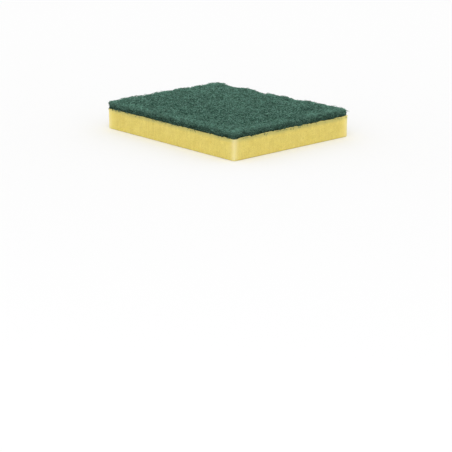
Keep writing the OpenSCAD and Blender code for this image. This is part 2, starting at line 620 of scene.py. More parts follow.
@dataclass(frozen=True)
class FoamFinish(Finish):
    """Cut polyurethane foam: fine open cells, a soft glow and paler corners where light comes through.

    Args:
        outline: the block's outline from above.
        top: height of the bond, towards which the foam turns olive with a tint of glue and green fibres and
            painted shade under the web's overhang.
        patch_colour: colour of the soft darker patches and of the blade's ripples.
        streak_stretch: width of a ripple as a share of its height.
        streak_band: values of the noise between which a ripple comes up.
        cell_wall: thickness of the walls between the open cells, in cells.
        cell_edge: mask of the walls at which the painted shade of a cell ends.
        bond_reach: how far below the bond the olive tint and painted shade start.
        bond_past: how far past the bond it would be full.
        bond_ragged: how far the patches move it up and down.
        painted_glow_fade: how far towards the near corner the painted glow starts and ends its fade.
        painted_glow_share: the painted glow's share before and after that fade.
        corner_highlight_reach: how far from an upright corner its painted pale highlight ends.
        scatter: share of the light that goes through the foam.
    """

    outline: RoundedOutline
    top: float
    colour: Colour = (0.853, 0.718, 0.212)
    patch_colour: Colour = (0.705, 0.560, 0.136)
    patch_size: float = 5.0 * MM
    patch_amount: float = 0.62
    patch_sharpness: float = 0.35
    streak_size: float = 0.75 * MM
    streak_stretch: float = 0.10
    streak_band: Span = (0.35, 0.65)
    streak_amount: float = 0.38
    pore_shade_colour: Colour = (0.530, 0.410, 0.085)
    cell_size: float = 0.55 * MM
    cell_wall: float = 0.35
    pore_shade_share: float = 0.6
    cell_edge: float = 0.6
    bond_tint_and_shade_colour: Colour = (0.560, 0.500, 0.165)
    bond_reach: float = 2.4 * MM
    bond_past: float = 0.4 * MM
    bond_ragged: float = 0.9 * MM
    # painted highlights: the glow and the pale corners stand in for light that comes through the foam at its
    # ends and upright corners
    painted_glow_colour: Colour = (0.920, 0.772, 0.245)
    painted_glow_fade: Span = (20 * MM, 95 * MM)
    painted_glow_share: Span = (0.75, 0.20)
    corner_highlight_colour: Colour = (0.900, 0.800, 0.420)
    corner_highlight_reach: float = 4.2 * MM
    corner_highlight_share: float = 0.66
    bump_depth: float = 0.12 * MM
    bump_strength: float = 0.35
    roughness: float = 0.92
    specular: float = 0.12
    scatter: float = 0.35
    scatter_radius: Colour = (1.0, 0.8, 0.3)
    scatter_scale: float = 1.6 * MM

    def material(self) -> bpy.types.Material:
        """Makes the foam's material.

        Returns:
            The material.
        """
        made, sheet, shader = self.start()
        patches = sheet.effect(Effects.patches(), {
            "Colour": rgba(self.colour), "Patch Colour": rgba(self.patch_colour),
            "Patch Size": self.patch_size, "Amount": self.patch_amount, "Sharpness": self.patch_sharpness})
        pores = sheet.effect(Effects.pores(), {"Cell Size": self.cell_size, "Wall": self.cell_wall})
        colour = sheet.blend(self._streaks(sheet), patches["Colour"], rgba(self.patch_colour))
        # painted shade in the open cells, where the walls don't reach
        pore_shade = sheet.ramp(pores["Walls"], 0.0, self.cell_edge, self.pore_shade_share, 0.0)
        colour = sheet.blend(pore_shade, colour, rgba(self.pore_shade_colour))
        ragged = sheet.math("MULTIPLY_ADD", patches["Mask"], self.bond_ragged, sheet.coordinates()["Z"])
        # olive towards the bond: a tint of glue and green fibres, and painted shade under the web's overhang
        bond_tint_and_shade = sheet.ramp(ragged, self.top - self.bond_reach, self.top + self.bond_past)
        colour = sheet.blend(bond_tint_and_shade, colour, rgba(self.bond_tint_and_shade_colour))
        colour = self._corners(sheet, colour)
        bump = sheet.node("ShaderNodeBump", {
            "Height": pores["Height"], "Strength": self.bump_strength, "Distance": self.bump_depth})
        sheet.fill(shader, {
            "Base Color": colour, "Normal": bump.outputs[0], "Roughness": self.roughness,
            "Specular IOR Level": self.specular, "Subsurface Weight": self.scatter,
            "Subsurface Radius": self.scatter_radius, "Subsurface Scale": self.scatter_scale})
        return made

    def _streaks(self, sheet: NodeSheet) -> Socket:
        """Draws the fine upright ripples that the blade leaves in the sides.

        Args:
            sheet: the material's sheet.

        Returns:
            The ripples' mask.
        """
        place = sheet.vector("MULTIPLY", sheet.place(), (1.0, 1.0, self.streak_stretch))
        ripples = {"Vector": place, "Scale": 1 / self.streak_size, "Detail": 1.0}
        ripples = sheet.node("ShaderNodeTexNoise", ripples).outputs[0]
        return sheet.ramp(ripples, *self.streak_band, 0.0, self.streak_amount)

    def _corners(self, sheet: NodeSheet, colour: Socket) -> Socket:
        """Paints the light that comes through the upright corners, as a painted glow and painted pale
        highlights.

        Args:
            sheet: the material's sheet.
            colour: the foam's colour so far.

        Returns:
            The colour with the painted glow and the painted pale corner highlights.
        """
        reach = sheet.effect(Effects.reach(), {
            "Half Length": self.outline.half_length, "Half Width": self.outline.half_width,
            "Reach": self.corner_highlight_reach})
        place = sheet.coordinates()
        toward = sheet.math("SUBTRACT", place["X"], place["Y"])
        # painted glow near the corners, fading towards the near corner
        painted_glow = sheet.math("MULTIPLY", sheet.ramp(toward, *self.painted_glow_fade, *self.painted_glow_share), reach["Glow"])
        colour = sheet.blend(painted_glow, colour, rgba(self.painted_glow_colour))
        # painted pale highlight along each upright corner
        corner_highlight = sheet.math("MULTIPLY", self.corner_highlight_share, reach["Corner"])
        return sheet.blend(corner_highlight, colour, rgba(self.corner_highlight_colour))


@dataclass(frozen=True)
class WebFinish(Finish):
    """Dyed nylon with resin on it, for the web's core, its strands and its grit; the core's colours are dark
    as painted shade.

    Args:
        colour: colour of the darkest strands.
        light_colour: colour of the lightest.
        patch_colour: colour of the soft patches over them.
        patch_sharpness: from 0, soft, to 1, sharp.
        grain_size: size of the bumps in the resin.
    """

    colour: Colour
    light_colour: Colour
    patch_colour: Colour
    patch_size: float = 3.4 * MM
    patch_amount: float = 0.6
    patch_sharpness: float = 0.55
    grain_size: float = 0.5 * MM
    grain_wall: float = 0.5
    grain_depth: float = 0.1 * MM
    grain_strength: float = 0.5
    roughness: float = 0.7
    specular: float = 0.12

    def material(self) -> bpy.types.Material:
        """Makes the material, which reads each strand's own shade from the mesh.

        Returns:
            The material.
        """
        made, sheet, shader = self.start()
        shade = sheet.node("ShaderNodeAttribute", attribute_name=SHADE).outputs["Fac"]
        patches = sheet.effect(Effects.patches(), {
            "Colour": sheet.blend(shade, rgba(self.colour), rgba(self.light_colour)),
            "Patch Colour": rgba(self.patch_colour), "Patch Size": self.patch_size,
            "Amount": self.patch_amount, "Sharpness": self.patch_sharpness})
        pores = sheet.effect(Effects.pores(), {"Cell Size": self.grain_size, "Wall": self.grain_wall})
        bump = sheet.node("ShaderNodeBump", {
            "Height": pores["Height"], "Strength": self.grain_strength, "Distance": self.grain_depth})
        sheet.fill(shader, {
            "Base Color": patches["Colour"], "Normal": bump.outputs[0], "Roughness": self.roughness,
            "Specular IOR Level": self.specular})
        return made


@dataclass
class FoamBlock:
    """The foam: sawn faces, upright cut corners, fine unevenness and a few open pits.

    Args:
        outline: the block's outline from above.
        top: height of the bond with the web.
        lower_edge: radius of the soft lower edges.
        wall_pitch: spacing of the mesh on the sides.
        base_pitch: spacing of the mesh on the face it lies on.
        hidden_pitch: spacing of the mesh under the web.
        calm_span: how far below the bond the sides turn even.
        pit_count: open pits in the sides; the face it lies on has twice as many.
        pit_radius: least and greatest radius of a pit.
        pit_stretch: how much narrower than wide a pit is, at least and at most.
        pit_depth: depth of a pit, in radii.
        seed: number that picks the pits' places.
        bow: broad unevenness of the sides.
        skin: fine unevenness of the cut faces.
        lip_sides: how far the foam stands up past the bond along its long sides.
        lip_ends: the same along its ends.
        lip_swells: x, y, rise and reach of soft swells of the lip, in millimetres.
        lip_wander: slow rise and fall of the lip along the bond.
        lip_teeth: the same, close together.
        lip_reach: how far down the lip draws the side up.
        lip_width: how far in it runs down to the bond.
    """

    outline: RoundedOutline
    top: float
    lower_edge: float = 0.6 * MM
    wall_pitch: float = 0.40 * MM
    base_pitch: float = 0.75 * MM
    hidden_pitch: float = 6.0 * MM
    calm_span: float = 1.5 * MM
    pit_count: int = 90
    pit_radius: Span = (0.35 * MM, 0.75 * MM)
    pit_stretch: Span = (1.0, 1.5)
    pit_depth: float = 0.6
    seed: int = 5
    bow: Relief = Relief(19 * MM, 0.14 * MM, 21)
    skin: Relief = Relief(1.0 * MM, 0.05 * MM, 22)
    lip_sides: float = 0.15 * MM
    lip_ends: float = 0.50 * MM
    lip_swells: tuple[tuple[float, float, float, float], ...] = (
        (55.7, -45, 0.10, 4), (49.7, -45, 0.45, 6), (55.7, -37, 0.42, 8), (55.7, -5, 0.35, 10),
        (55.7, 45, 0.60, 7), (-55.7, 45, 0.30, 7), (-30, -45, -0.25, 8), (-55.7, -45, -0.10, 7))
    lip_wander: Relief = Relief(3.4 * MM, 0.30 * MM, 23)
    lip_teeth: Relief = Relief(1.3 * MM, 0.22 * MM, 24)
    lip_reach: float = 2.5 * MM
    lip_width: float = 0.8 * MM

    def build(self) -> bpy.types.Object:
        """Makes the foam piece, hides the CAD foam and attaches the piece to the body.

        Returns:
            The piece.
        """
        draft = MeshDraft()
        along, insets, levels = self._wall_plan()
        points, normals = self.outline.walk(along)
        fade = np.clip((self.top - levels) / self.calm_span, 0, 1)[:, None]
        inward = insets[:, None] + self._wall_relief(along, levels) * fade
        flat = points[None] - normals[None] * inward[..., None]
        rise = nearness(self.top - levels, self.lip_reach)[:, None]
        rim = with_height(flat, levels[:, None] + rise * self.lip(along / self.outline.perimeter()))
        ledge = with_height(points - self.lip_width * normals, np.full(len(along), self.top))
        wall = draft.add_net(np.concatenate([rim, ledge[None]]), closed=True)
        base = draft.cap(wall[0], self.base_pitch, upward=False)
        draft.cap(wall[-1], self.hidden_pitch, upward=True)
        vertices = draft.vertices()
        vertices[base, 2] += self._base_relief(vertices[base])
        made = draft.build("foam")
        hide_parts(FOAM_NODE)
        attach(made, BODY)
        return made

    def dress(self, made: bpy.types.Object) -> None:
        """Gives the piece its finish."""
        made.data.materials.append(FoamFinish("yellow_foam", self.outline, self.top).material())

    def lip(self, turns: Array) -> Array:
        """Measures how far the foam stands up past the bond round the web.

        Args:
            turns: places along the outline, as shares of the way round it.

        Returns:
            The heights, greater at the block's ends and in a few soft swells.
        """
        along = turns * self.outline.perimeter()
        points, normals = self.outline.walk(along)
        usual = self.lip_sides + (self.lip_ends - self.lip_sides) * normals[..., 0] ** 2
        for x, y, rise, reach in np.array(self.lip_swells) * MM:
            usual = usual + rise * nearness(np.linalg.norm(points - (x, y), axis=-1), reach)
        level = np.zeros_like(along)
        return np.maximum(0, usual + self.lip_wander.at(along, level) + self.lip_teeth.at(along, level))

    def _wall_plan(self) -> tuple[Array, Array, Array]:
        """Plans the sides' mesh.

        Returns:
            The columns' places round the outline, and each row's inset and height.
        """
        columns = round(self.outline.perimeter() / self.wall_pitch)
        along = np.arange(columns) * self.outline.perimeter() / columns
        turn = np.radians([0, 30, 60, 90])
        curve = np.stack([1 - np.sin(turn), 1 - np.cos(turn)], -1) * self.lower_edge
        steps = round((self.top - self.lower_edge) / self.wall_pitch)
        levels = np.linspace(self.lower_edge, self.top, steps + 1)[1:]
        rows = np.concatenate([curve, np.stack([np.zeros(steps), levels], -1)])
        return along, rows[:, 0], rows[:, 1]

    def _wall_relief(self, along: Array, levels: Array) -> Array:
        """Draws the sides' unevenness and pits.

        Args:
            along: the columns' places round the outline.
            levels: the rows' heights.

        Returns:
            The depths, inward, by row and column.
        """
        v, u = np.meshgrid(levels, along, indexing="ij")
        depth = self.bow.at(u, v) + self.bow.height + self.skin.at(u, v)
        return depth + self._pits(u, v, (along[-1], self.top), self.pit_count, self.seed)

    def _base_relief(self, points: Array) -> Array:
        """Draws the pits and the unevenness in the face that the foam lies on.

        Args:
            points: that face's points.

        Returns:
            Their heights over the floor.
        """
        x, y = points[:, 0], points[:, 1]
        half = self.outline.half
        pits = self._pits(x + half[0], y + half[1], tuple(2 * half), 2 * self.pit_count, self.seed + 1)
        return pits + self.skin.height + self.skin.at(x, y)

    def _pits(self, u: Array, v: Array, size: Span, count: int, seed: int) -> Array:
        """Draws round pits scattered over a face.

        Args:
            u: places along the face.
            v: places across it.
            size: the face's length and height.
            count: how many pits there are.
            seed: number that picks their places.

        Returns:
            The depth at each place, 0 between the pits.
        """
        rng = np.random.default_rng(seed)
        depth = np.zeros_like(u)
        for _ in range(count):
            radius = rng.uniform(*self.pit_radius)
            a, b = rng.uniform(0, size[0]), rng.uniform(radius, size[1] - 2 * radius)
            away = ((u - a) ** 2 + ((v - b) * rng.uniform(*self.pit_stretch)) ** 2) / radius**2
            depth = np.maximum(depth, self.pit_depth * radius * np.clip(1 - away, 0, 1))
        return depth


@dataclass
class WebSurface:
    """The web's outer surface, read from its CAD solid.

    Args:
        node: the CAD node's object.
        corner_radius: radius of the web's upright corners.
        top_pitch: spacing of the rays on the top.
        edge_pitch: spacing of the rays along the cut edge.
        edge_rows: rays up the cut edge.
        edge_band: where they start and end, as shares of its height.
        margin: how far inside the outline the last rays fall.
        above: how far over the web the rays start.
        outside: how far outside it the rays start.
        shoulder: how far in from the cut edge its height is read.
        shoulder_drop: how much lower the edge itself is.
        deepest_inset: the most that the cut edge is taken to lie inside.
        nap: small tufts all over the top.
        nap_sink: how far they lie below the solid, in the mean.
        rim_tufts: bigger tufts along the rim.
        rim_reach: how far in from the rim those reach.
        corner_lifts: signs of x and y, rise and reach of the corners that lie higher or lower.
    """

    node: bpy.types.Object
    corner_radius: float
    top_pitch: float = 0.6 * MM
    edge_pitch: float = 0.6 * MM
    edge_rows: int = 17
    edge_band: Span = (0.02, 0.98)
    margin: float = 0.05 * MM
    above: float = 10 * MM
    outside: float = 5 * MM
    shoulder: float = 1.6 * MM
    shoulder_drop: float = 0.15 * MM
    deepest_inset: float = 2.4 * MM
    nap: Relief = Relief(0.80 * MM, 0.28 * MM, 61)
    nap_sink: float = 0.42 * MM
    rim_tufts: Relief = Relief(2.7 * MM, 0.55 * MM, 62)
    rim_reach: float = 4.0 * MM
    corner_lifts: tuple[tuple[int, int, float, float], ...] = (
        (-1, -1, -0.55 * MM, 11 * MM), (1, 1, 0.75 * MM, 4.5 * MM), (1, -1, 0.25 * MM, 4 * MM))

    # What the rays find
    tree: BVHTree = field(init=False)
    outline: RoundedOutline = field(init=False)
    bottom: float = field(init=False)
    steps: Array = field(init=False)
    heights: Array = field(init=False)
    columns: int = field(init=False)
    rim_heights: Array = field(init=False)
    insets: Array = field(init=False)

    def __post_init__(self) -> None:
        """Casts rays on the solid, down on its top and inward on its cut edge."""
        low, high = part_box(self.node.name)
        mesh = self.node.data
        faces = [tuple(p.vertices) for p in mesh.polygons]
        self.tree = BVHTree.FromPolygons([v.co for v in mesh.vertices], faces)
        self.outline = RoundedOutline(high.x, high.y, self.corner_radius)
        self.bottom = low.z
        self._read_top(high.z + self.above)
        self._read_edge()

    def _read_top(self, start: float) -> None:
        """Reads the height of the top on a grid.

        Args:
            start: height from which the rays go down.
        """
        half = self.outline.half
        counts = [math.ceil(2 * h / self.top_pitch) + 1 for h in half]
        self.steps = np.array([2 * h / (n - 1) for h, n in zip(half, counts)])
        grid = crossings([np.linspace(-h, h, n) for h, n in zip(half, counts)])
        places = self.outline.pulled_in(grid, self.margin).reshape(-1, 2)
        down = Vector((0, 0, -1))
        hits = [self.tree.ray_cast(Vector((x, y, start)), down)[0].z for x, y in places]
        self.heights = np.array(hits).reshape(counts)

    def _read_edge(self) -> None:
        """Reads how far the cut edge and its shoulder lie inside the outline, on a grid."""
        self.columns = round(self.outline.perimeter() / self.edge_pitch)
        along = np.arange(self.columns + 1) * self.outline.perimeter() / self.columns
        points, normals = self.outline.walk(along)
        self.rim_heights = self.height(points - normals * self.shoulder) - self.shoulder_drop - self.bottom
        self.insets = np.full((self.columns + 1, self.edge_rows), self.deepest_inset)
        shares = np.linspace(*self.edge_band, self.edge_rows)
        for c, (point, normal, rim) in enumerate(zip(points, normals, self.rim_heights)):
            start = point + normal * self.outside
            for r, share in enumerate(shares):
                origin = Vector((*start, self.bottom + share * rim))
                hit = self.tree.ray_cast(origin, Vector((*-normal, 0)))[0]
                if hit is not None:
                    self.insets[c, r] = min(self.deepest_inset, (point - np.array(hit)[:2]) @ normal)

    def height(self, points: Array) -> Array:
        """Reads the height of the top.

        Args:
            points: places on it; outside the outline the rim's height is taken.

        Returns:
            The heights, with the lifts of the corners.
        """
        inside = self.outline.pulled_in(points, self.margin)
        u, v = np.moveaxis((inside + self.outline.half) / self.steps, -1, 0)
        height = grid_value(self.heights, u, v)
        for side_x, side_y, rise, reach in self.corner_lifts:
            corner = self.outline.corner((side_x, side_y))
            height = height + rise * nearness(np.linalg.norm(inside - corner, axis=-1), reach)
        return height

    def crest(self, points: Array) -> Array:
        """How far places stand on a crest of the nap, from -1 in its hollows to 1."""
        return self.nap.at(points[..., 0], points[..., 1]) / self.nap.height

    def napped(self, points: Array) -> Array:
        """Reads the height of the top with its tufts.

        Args:
            points: places on it.

        Returns:
            The heights, with the nap all over and bigger tufts along the rim.
        """
        nap = self.nap.height * self.crest(points) - self.nap_sink
        near_rim = nearness(self.outline.depth(points), self.rim_reach)
        return self.height(points) + nap + near_rim * self.rim_tufts.at(points[..., 0], points[..., 1])

    def _column(self, along: Array) -> Array:
        """Columns of the cut edge's grid at distances along the outline."""
        return np.mod(along, self.outline.perimeter()) / self.outline.perimeter() * self.columns

    def rim_height(self, along: Array) -> Array:
        """Height of the cut edge over the bond, at distances along the outline."""
        return np.interp(self._column(along), np.arange(self.columns + 1), self.rim_heights)

    def inset(self, along: Array, share: Array) -> Array:
        """How far the cut edge lies inside the outline, at places and shares of its height."""
        return grid_value(self.insets, self._column(along), np.clip(share, 0, 1) * (self.edge_rows - 1))

    def edge(self, along: Array, share: Array, out: Array) -> Array:
        """Finds points over the cut edge.

        Args:
            along: distances along the outline.
            share: heights as shares of the cut edge, which may pass 0 and 1.
            out: distances outward from the surface.

        Returns:
            The points.
        """
        points, normals = self.outline.walk(along)
        flat = points + normals * (out - self.inset(along, share))[..., None]
        return with_height(flat, self.bottom + share * self.rim_height(along))


class Zone(Enum):
    """Where a batch of strands lies on the web."""

    TOP = "tangled over the top"
    CUT_EDGE = "matted along the cut edge"
    STUBBLE = "cut ends that stand out of the cut edge"
    LOOSE = "loose ends that stand up from the top"


@dataclass(frozen=True)
class StrandBatch:
    """One piece of the web: strands of one kind.

    Args:
        name: the piece's name.
        zone: where the strands lie.
        count: how many are drawn, before the ones that fall outside are left out.
        length: shortest and longest strand, in millimetres.
        thickness: thinnest and thickest strand, in millimetres.
        lift: lowest and highest middle of a strand over the web's surface, in millimetres.
        shade: darkest and lightest strand, from 0 to 1.
        seed: number that picks the pattern.
        segments: straight stretches in each strand.
    """

    name: str
    zone: Zone
    count: int
    length: Span
    thickness: Span
    lift: Span
    shade: Span
    seed: int
    segments: int = 6

    def draw(self, rng: np.random.Generator, size: Span, shape: int | tuple[int, int]) -> Array:
        """Draws sizes in metres between two that are given in millimetres."""
        return rng.uniform(size[0] * MM, size[1] * MM, shape)


@dataclass
class StrandSet:
    """Strands as centre lines, ready to be made into thin tubes.

    Args:
        paths: centre lines, with axes strand, station and coordinate.
        radii: radii, by strand and station.
        shades: shades from 0 to 1, by strand and station.
    """

    paths: Array
    radii: Array
    shades: Array

    SIDES: ClassVar[int] = 3
    CELL_MARGIN: ClassVar[float] = 0.12  # share of a strand's cell of the map left bare on each side
    TUBE_SHARE: ClassVar[float] = 0.82  # share of the cell's height that the tube takes up
    END_CORNERS: ClassVar[tuple[Span, ...]] = ((0.05, 0.87), (0.40, 0.87), (0.22, 1.0))
    END_STEP: ClassVar[float] = 0.5  # from the one end's triangle in the cell to the other's

    def build(self, name: str) -> bpy.types.Object:
        """Makes one mesh of three-sided tubes, with its map and each strand's shade.

        Args:
            name: the piece's name.

        Returns:
            The piece.
        """
        rings = self._rings()
        count, stations = rings.shape[:2]
        places = np.arange(count * stations * self.SIDES).reshape(rings.shape[:3])
        ahead = np.roll(places, -1, axis=2)
        quads = np.stack([places[:, :-1], ahead[:, :-1], ahead[:, 1:], places[:, 1:]], -1)
        draft = MeshDraft()
        draft.add_points(rings)
        for faces in (quads.reshape(-1, 4), places[:, 0, ::-1], places[:, -1]):
            draft.add_faces(faces)
        made = draft.build(name)
        keep_shade(made.data, np.repeat(self.shades.ravel(), self.SIDES))
        self._map(made.data, count, stations)
        return made

    def _rings(self) -> Array:
        """Draws the corners of each tube's cross-sections.

        Returns:
            Points with axes strand, station, side and coordinate.
        """
        tangent = unit(np.gradient(self.paths, axis=1))
        chord = self.paths[:, -1] - self.paths[:, 0]
        steep = np.abs(chord[:, 2:]) > np.linalg.norm(chord[:, :2], axis=1, keepdims=True)
        helper = np.where(steep, [[1.0, 0.0, 0.0]], [[0.0, 0.0, 1.0]])
        side = unit(np.cross(tangent, helper[:, None]))
        other = np.cross(tangent, side)
        angles = np.arange(self.SIDES) * 2 * math.pi / self.SIDES + math.pi / 2
        around = side[:, :, None] * np.cos(angles)[:, None] + other[:, :, None] * np.sin(angles)[:, None]
        return self.paths[:, :, None] + around * self.radii[:, :, None, None]

    def _map(self, mesh: bpy.types.Mesh, count: int, stations: int) -> None:
        """Gives each strand a cell of its own in a map of the mesh.

        Args:
            mesh: the tubes' mesh.
            count: how many strands there are.
            stations: how many cross-sections each has.
        """
        per_row = math.ceil(math.sqrt(count))
        cell = 1 / per_row
        order = np.arange(count)
        corner = np.stack([order % per_row, order // per_row], -1) * cell + self.CELL_MARGIN * cell
        size = cell * (1 - 2 * self.CELL_MARGIN)
        u = np.arange(self.SIDES + 1) / self.SIDES
        v = self.TUBE_SHARE * np.arange(stations) / (stations - 1)
        k, s = np.meshgrid(np.arange(stations - 1), np.arange(self.SIDES), indexing="ij")
        steps = [(0, 0), (1, 0), (1, 1), (0, 1)]
        quads = np.stack([np.stack([u[s + a], v[k + b]], -1) for a, b in steps], -2)
        first = np.array(self.END_CORNERS)
        parts = [quads.reshape(-1, 4, 2), first[None], (first + [self.END_STEP, 0])[None]]
        parts = [(p[None] * size + corner[:, None, None]).reshape(-1, 2) for p in parts]
        layer = mesh.uv_layers.new(name="OFBake")
        layer.data.foreach_set("uv", np.concatenate(parts).astype(np.float32).ravel())


@dataclass
class Weaver:
    """Lays strands over the web's surface.

    Args:
        surface: the surface that they lie on.
        lip: height of the foam's lip, by share of the way round.
    """

    surface: WebSurface
    lip: Callable[[Array], Array]

    # How a strand runs
    fine_steps: int = 24
    least_share: float = 0.3
    tip_share: float = 0.6
    crimp_swing: float = 0.55
    crimp_length: Span = (4.5 * MM, 9 * MM)
    curl_top: float = 6 * MM
    curl_edge: float = 5 * MM
    weave_pace: Span = (1.0, 2.4)
    weave_top: float = 0.13 * MM
    weave_edge: float = 0.10 * MM
    overhang: float = 0.3 * MM

    # How light it is: random resin spots, with painted light and shade from the nap, the cut edge's band and
    # a fade towards the near corner
    shade_curve: Span = (0.42, 0.80)
    spot_share: float = 0.75
    # painted light on the nap's crests and painted shade in its hollows
    painted_crest_gain: float = 0.04
    # painted shade that darkens the strands towards the near corner
    painted_fade: float = 0.06
    painted_fade_span: float = 50 * MM
    # painted shade low on the cut edge, turning to painted light above it; the shaded band stands higher at
    # the ends and lower by the light corner
    painted_edge_gain: float = 0.30
    shaded_band_sides: float = 2.5 * MM
    shaded_band_ends: float = 3.15 * MM
    end_width: float = 4 * MM
    light_edge: float = 1.3 * MM
    light_ragged: float = 0.4 * MM
    light_corner: tuple[int, int] = (1, -1)
    light_reach: float = 9 * MM
    light_gain: float = 1.3 * MM
    worn_corner: tuple[int, int] = (1, 1)
    worn_reach: float = 1.0 * MM

    # How the cut edge hangs over the foam, or is tucked behind its lip
    edge_lean: float = 0.5
    over_rim: float = 0.3 * MM
    hang: Relief = Relief(3.1 * MM, 0.35 * MM, 63)
    hang_start: float = 2.6 * MM
    hang_full: float = 1.1 * MM
    usual_drop: float = 0.30 * MM
    least_drop: float = 0.50 * MM
    longest_drop: float = 1.1 * MM
    on_foam: float = 0.50 * MM
    tuck: float = 0.35 * MM
    tuck_span: float = 0.4 * MM

    # How cut ends stand out of the edge, and where they gather in tufts
    edge_band: Span = (0.02, 1.0)
    cut_share: float = 0.5
    cut_fill: float = 0.7
    cut_slant: Span = (0.35, 0.7)
    cut_rise: float = 0.6
    cut_turn: float = 1.5
    lip_margin: float = 0.12 * MM
    tuft_share: float = 0.65
    tuft_spread: float = 0.8 * MM
    tufts: int = 90
    corner_tufts: int = 4
    tuft_seed: int = 71

    # How loose ends stand up from the top
    inner_part: int = 5
    rim_scatter: float = 1.5 * MM
    root_margin: float = 0.1 * MM
    loose_bend: float = 1.2
    loose_climb: Span = (0.3, 1.15)
    loose_droop: float = 1.7
    loose_past: float = 0.35 * MM

    def lay(self, batch: StrandBatch) -> StrandSet:
        """Draws one batch of strands.

        Args:
            batch: what the strands are like and where they lie.

        Returns:
            The strands.
        """
        rng = np.random.default_rng(batch.seed)
        layers = {Zone.TOP: self._top, Zone.CUT_EDGE: self._cut_edge,
                  Zone.STUBBLE: self._stubble, Zone.LOOSE: self._loose}
        paths = layers[batch.zone](batch, rng)
        worn = self._away(paths, self.worn_corner).min(axis=1)
        paths = paths[worn > self.worn_reach]
        thick = batch.draw(rng, batch.thickness, (len(paths), 1)) / 2
        taper = np.ones(batch.segments + 1)
        taper[[0, -1]] = self.tip_share
        return StrandSet(paths, thick * taper, self._shades(batch, rng, paths))

    def _away(self, paths: Array, corner: tuple[int, int]) -> Array:
        """Distances of a path's points from a corner of the web, seen from above."""
        return np.linalg.norm(paths[..., :2] - self.surface.outline.corner(corner), axis=-1)

    def _shades(self, batch: StrandBatch, rng: np.random.Generator, paths: Array) -> Array:
        """Shades each strand, spotted with resin along its length, with painted light and shade added.

        Args:
            batch: what the strands are like.
            rng: source of random draws.
            paths: their centre lines.

        Returns:
            Shades from 0 to 1, by strand and station.
        """
        count, stations = paths.shape[:2]
        own = rng.beta(*self.shade_curve, (count, 1))
        along = rng.beta(*self.shade_curve, (count, stations))
        spotted = rng.random((count, stations)) < self.spot_share
        shades = np.where(spotted, along, own) * (batch.shade[1] - batch.shade[0]) + batch.shade[0]
        crest = self.surface.crest(paths[..., :2])
        # painted shade on the lower cut edge, painted light above it
        if batch.zone in (Zone.CUT_EDGE, Zone.STUBBLE):
            past = np.abs(paths[..., 0]) - self.surface.outline.half_length + self.end_width
            at_end = ease((past / self.end_width).clip(0, 1))
            dark = self.shaded_band_sides + (self.shaded_band_ends - self.shaded_band_sides) * at_end
            dark -= self.light_gain * nearness(self._away(paths, self.light_corner), self.light_reach)
            level = paths[..., 2] - self.surface.bottom - dark + self.light_ragged * crest
            shades = shades + self.painted_edge_gain * ease((level / self.light_edge).clip(0, 1))
        else:
            # painted light on the nap's crests, painted shade in its hollows
            shades = shades + self.painted_crest_gain * crest
        # painted shade, darker towards the near corner and lighter towards the far one
        fade = self.painted_fade * (paths[..., 0] - paths[..., 1]) / (2 * self.painted_fade_span)
        return (shades - fade).clip(0, 1)

    def _crimped(self, rng: np.random.Generator, lengths: Array, headings: Array, turn: float) -> Array:
        """Draws flat paths with a steady curl and a crimp, each about its own middle.

        Args:
            rng: source of random draws.
            lengths: length of each strand.
            headings: direction of each strand at its start.
            turn: usual radius of its curl.

        Returns:
            Points with axes strand, step, coordinate.
        """
        count = len(lengths)
        s = np.linspace(0, 1, self.fine_steps + 1)[None] * lengths[:, None]
        curl = rng.normal(0, 1 / turn, (count, 1))
        wave = 2 * math.pi / rng.uniform(*self.crimp_length, (count, 1))
        phase = rng.uniform(0, 2 * math.pi, (count, 1))
        angle = headings[:, None] + curl * s + self.crimp_swing * np.sin(wave * s + phase)
        step = np.stack([np.cos(angle), np.sin(angle)], -1) * (lengths / self.fine_steps)[:, None, None]
        path = np.cumsum(step, axis=1)
        return path - path[:, self.fine_steps // 2][:, None]

    def _cut(self, path: Array, inside: Array, segments: int) -> tuple[Array, Array]:
        """Cuts each path to the stretch round its middle that lies inside, and evens its points.

        Args:
            path: fine points with axes strand, step, coordinate.
            inside: whether each point lies inside.
            segments: stretches that are wanted.

        Returns:
            The cut paths, and which strands are long enough to keep.
        """
        middle = self.fine_steps // 2
        ahead = np.cumprod(inside[:, middle:], axis=1).sum(axis=1) - 1
        behind = np.cumprod(inside[:, middle::-1], axis=1).sum(axis=1) - 1
        kept = inside[:, middle] & (ahead + behind >= self.least_share * self.fine_steps)
        start, end = middle - behind, middle + ahead
        at = start[:, None] + (end - start)[:, None] * np.linspace(0, 1, segments + 1)
        low = np.clip(np.floor(at).astype(int), 0, self.fine_steps - 1)
        share = (at - low)[..., None]
        first = np.take_along_axis(path, low[..., None], axis=1)
        second = np.take_along_axis(path, low[..., None] + 1, axis=1)
        return (first * (1 - share) + second * share)[kept], kept

    def _weave(self, rng: np.random.Generator, flat: Array, height: float) -> Array:
        """Makes strands rise and fall as they pass over and under each other.

        Args:
            rng: source of random draws.
            flat: the strands' flat paths.
            height: how far they rise and fall.

        Returns:
            The rise by strand and station.
        """
        phase = rng.uniform(0, 2 * math.pi, (len(flat), 1))
        pace = rng.uniform(*self.weave_pace, (len(flat), 1))
        return height * np.sin(phase + pace * np.arange(flat.shape[1])[None])

    def _top(self, batch: StrandBatch, rng: np.random.Generator) -> Array:
        """Tangles strands over the top in every direction.

        Args:
            batch: what the strands are like.
            rng: source of random draws.

        Returns:
            Their centre lines.
        """
        outline = self.surface.outline
        middles = rng.uniform(-outline.half, outline.half, (batch.count, 2))
        lengths = batch.draw(rng, batch.length, batch.count)
        headings = rng.uniform(0, 2 * math.pi, batch.count)
        flat = self._crimped(rng, lengths, headings, self.curl_top) + middles[:, None]
        spare = rng.uniform(-self.overhang, self.overhang, (batch.count, 1))
        flat, _ = self._cut(flat, outline.depth(flat) > spare, batch.segments)
        lift = batch.draw(rng, batch.lift, len(flat))[:, None]
        return with_height(flat, self.surface.napped(flat) + lift + self._weave(rng, flat, self.weave_top))

